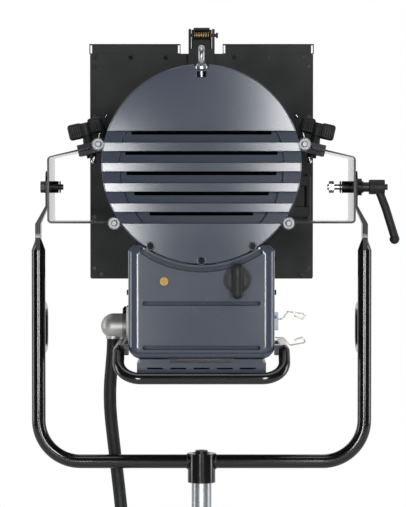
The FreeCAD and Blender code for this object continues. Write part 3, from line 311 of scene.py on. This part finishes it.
def piece(name, mesh_maker, look, body, slot, smooth=True):
    """A mesh piece in the row frame, made by a function that fills a bmesh."""
    mesh = bpy.data.meshes.new(name)
    shape = bmesh.new()
    mesh_maker(shape)
    bmesh.ops.recalc_face_normals(shape, faces=shape.faces)
    shape.to_mesh(mesh)
    shape.free()
    made = bpy.data.objects.new(name, mesh)
    bpy.context.scene.collection.objects.link(made)
    for face in mesh.polygons:
        face.use_smooth = smooth
    paint(made, look)
    if body:
        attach(made, body)
    return made


def tube(shape, points, radius, sides=24):
    """Rings along a line of points, carried without twist, with closed ends."""
    ahead = (points[1] - points[0]).normalized()
    across = ahead.orthogonal().normalized()
    rings = []
    for i, spot in enumerate(points):
        after = points[min(i + 1, len(points) - 1)] - points[max(i - 1, 0)]
        turn = ahead.rotation_difference(after.normalized())
        across = turn @ across
        ahead = after.normalized()
        other = ahead.cross(across)
        rings.append([shape.verts.new(spot + (across * math.cos(a) + other * math.sin(a)) * radius)
                      for a in (math.tau * k / sides for k in range(sides))])
    for one, two in zip(rings, rings[1:]):
        for k in range(sides):
            shape.faces.new((one[k], one[(k + 1) % sides], two[(k + 1) % sides], two[k]))
    shape.faces.new(rings[0])
    shape.faces.new(reversed(rings[-1]))


# ---- the head lead: the same route as the CAD tube's, as a smooth spline

CABLE_ROUTE = [
    (-0.1285, 0.035, 0.222), (-0.1285, 0.035, 0.196), (-0.131, 0.0365, 0.166),
    (-0.134, 0.039, 0.134), (-0.1335, 0.0425, 0.098), (-0.1295, 0.046, 0.060),
    (-0.125, 0.0475, 0.020), (-0.12, 0.0465, -0.022), (-0.1155, 0.0435, -0.066),
    (-0.114, 0.040, -0.110), (-0.1155, 0.0375, -0.154), (-0.1185, 0.036, -0.194),
    (-0.1195, 0.0356, -0.222), (-0.1195, 0.0356, -0.246),
]
CABLE_DIAMETER = 0.0185


def smooth_line(route, steps=10):
    """The points of an order-3 NURBS spline with the route's points as its control points."""
    curve = bpy.data.curves.new("route", "CURVE")
    curve.dimensions = "3D"
    spline = curve.splines.new("NURBS")
    spline.points.add(len(route) - 1)
    for point, place in zip(spline.points, route):
        point.co = (*place, 1)
    spline.order_u = 3
    spline.use_endpoint_u = True
    spline.resolution_u = steps
    holder = bpy.data.objects.new("route", curve)
    bpy.context.scene.collection.objects.link(holder)
    bpy.context.view_layer.update()
    mesh = bpy.data.meshes.new_from_object(holder)
    line = [v.co.copy() for v in mesh.vertices]
    bpy.data.objects.remove(holder)
    bpy.data.meshes.remove(mesh)
    bpy.data.curves.remove(curve)
    return line


def head_lead():
    line = smooth_line(CABLE_ROUTE)
    made = piece("head_lead", lambda shape: tube(shape, line, CABLE_DIAMETER / 2, 32),
                 "black_rubber", None, "black_rubber")
    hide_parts("head_cable")
    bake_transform(made)


head_lead()


# ---- small details

ARM_SLOPE = math.radians(12.5)
KNOB_REACH, KNOB_HEIGHT = 160.5, 481.01    # mm, the knob pivot from the mid-plane and the origin
RIB_RADIUS, RIB_PITCH, RIBS = 0.75, 3.4, 4


def ribbed_wings():
    """Moulded grip ribs on both faces of the clamping knobs' lobes."""
    for name, side in (("left", -1), ("right", 1)):
        turn = Matrix.Rotation(side * ARM_SLOPE, 3, "Y")
        top = Vector((side * KNOB_REACH, 0, KNOB_HEIGHT)) + turn @ Vector((0, 0, 21))

        def fill(shape):
            for way in (-1, 1):
                corner = Vector((way * 15 - 10.5, 0, -3 - side * way * 1.5))
                for face in (-1, 1):
                    for n in range(RIBS):
                        x, y = 5.4 + n * RIB_PITCH, face * 6.3
                        ends = [corner + Vector((x, y, z)) for z in (5.0, 11.5, 18.0)]
                        tube(shape, [(top + turn @ e) * MM for e in ends],
                             RIB_RADIUS * MM, 10)
        piece(f"wing_ribs_{name}", fill, "black_plastic", f"knob_{name}", "black_plastic")


def tag_dot():
    """The blank tag's coloured dot."""
    sides = 32

    def fill(shape):
        rings = [[shape.verts.new(Vector((106.2 + r * math.cos(a), y, 239 + r * math.sin(a))) * MM)
                  for a in (math.tau * k / sides for k in range(sides))]
                 for r, y in ((2.4, -7.9), (2.4, -8.35), (2.1, -8.6))]
        for one, two in zip(rings, rings[1:]):
            for k in range(sides):
                shape.faces.new((one[k], one[(k + 1) % sides], two[(k + 1) % sides], two[k]))
        shape.faces.new(rings[0])
        shape.faces.new(reversed(rings[-1]))
    piece("tag_dot", fill, "blue_enamel", "head", "white_tag")


def weld_bead(name, centre, axis, radius, thick):
    """A rippled bead run round a joint in the yoke."""
    along, round_it, ripples = 96, 10, 24

    def fill(shape):
        axis_v = Vector(axis).normalized()
        one = axis_v.orthogonal().normalized()
        two = axis_v.cross(one)
        rings = []
        for k in range(along):
            a = math.tau * k / along
            out = one * math.cos(a) + two * math.sin(a)
            fat = thick * (1 + 0.18 * math.sin(a * ripples))
            rings.append([shape.verts.new((Vector(centre) + out * (radius + fat * math.cos(b))
                                           + axis_v * fat * math.sin(b)) * MM)
                          for b in (math.tau * j / round_it for j in range(round_it))])
        for i in range(along):
            for j in range(round_it):
                a, b = rings[i], rings[(i + 1) % along]
                shape.faces.new((a[j], a[(j + 1) % round_it], b[(j + 1) % round_it], b[j]))
    piece(name, fill, "gloss_black_tube", "yoke", "gloss_black_tube")


ribbed_wings()
tag_dot()
for side in (-1, 1):
    weld_bead(f"boss_weld_{side}", (side * 20.2, 0, 30), (1, 0, 0), 10, 1.3)


# ---- floor, world, lights, camera

def plain_floor():
    """A pale round studio floor, just under the object."""
    size, low = 2.3, cad_box[0][2] - 0.02
    mesh = bpy.data.meshes.new("floor")
    mesh.from_pydata([(size * math.cos(a), size * math.sin(a), low)
                      for a in (math.tau * k / 96 for k in range(96))], [], [range(96)])
    floor = bpy.data.objects.new("floor", mesh)
    bpy.context.scene.collection.objects.link(floor)
    s = Shader("pale_floor", (0.86, 0.86, 0.86), 0.8)
    s.rougher(s.spread(s.noise(3, 3), 0.3, 0.7, 0.75, 0.85))
    floor.data.materials.append(s.material)


def white_world():
    """A white backdrop in front of the lamp, and a dim studio behind the camera."""
    world = bpy.data.worlds.new("studio")
    bpy.context.scene.world = world
    world.use_nodes = True
    tree = world.node_tree

    def node(kind, **settings):
        made = tree.nodes.new(kind)
        for key, value in settings.items():
            setattr(made, key, value)
        return made

    split = node("ShaderNodeSeparateXYZ")
    tree.links.new(node("ShaderNodeTexCoord").outputs["Generated"], split.inputs["Vector"])
    fade = node("ShaderNodeMapRange")
    for socket, number in zip(("From Min", "From Max", "To Min", "To Max"), (0.0, 0.6, 0.07, 0.9)):
        fade.inputs[socket].default_value = number
    tree.links.new(split.outputs["Y"], fade.inputs["Value"])
    back = tree.nodes["Background"]
    back.inputs["Color"].default_value = (1, 1, 1, 1)
    tree.links.new(fade.outputs["Result"], back.inputs["Strength"])
    white = node("ShaderNodeBackground")
    white.inputs["Color"].default_value = (1, 1, 1, 1)
    mix = node("ShaderNodeMixShader")
    tree.links.new(node("ShaderNodeLightPath").outputs["Is Camera Ray"], mix.inputs["Fac"])
    tree.links.new(back.outputs["Background"], mix.inputs[1])
    tree.links.new(white.outputs["Background"], mix.inputs[2])
    tree.links.new(mix.outputs["Shader"], tree.nodes["World Output"].inputs["Surface"])


def area(name, place, aim, wide, tall, power):
    data = bpy.data.lights.new(name, "AREA")
    data.shape = "RECTANGLE"
    data.size, data.size_y = wide, tall
    data.energy = power
    made = bpy.data.objects.new(name, data)
    bpy.context.scene.collection.objects.link(made)
    made.location = place
    made.rotation_euler = (Vector(aim) - Vector(place)).to_track_quat("-Z", "Y").to_euler()
    return made


def photo_camera():
    """Level with the pivots, 3.36 m behind the lamp, tipped a little down."""
    data = bpy.data.cameras.new("photo")
    data.sensor_width = 36
    data.lens = 165.4
    made = bpy.data.objects.new("photo", data)
    bpy.context.scene.collection.objects.link(made)
    made.location = (0.0021, -3.355, 0.426)
    made.rotation_euler = (math.radians(90 - 1.635), 0, 0)
    bpy.context.scene.camera = made


white_world()
plain_floor()
centre = (0, 0, 0.42)
area("left_box", (-0.66, -3.25, 0.2), centre, 0.42, 0.9, 40)
area("right_box", (0.66, -3.25, 0.62), centre, 0.46, 1.6, 56)
area("left_strip", (-2.3, 0.0, 0.6), centre, 0.6, 1.8, 20)
area("right_strip", (2.3, 0.0, 0.6), centre, 0.6, 1.8, 22)
area("top_box", (0, -0.5, 2.6), centre, 1.6, 1.4, 18)
photo_camera()
bpy.context.scene.view_settings.view_transform = "Standard"
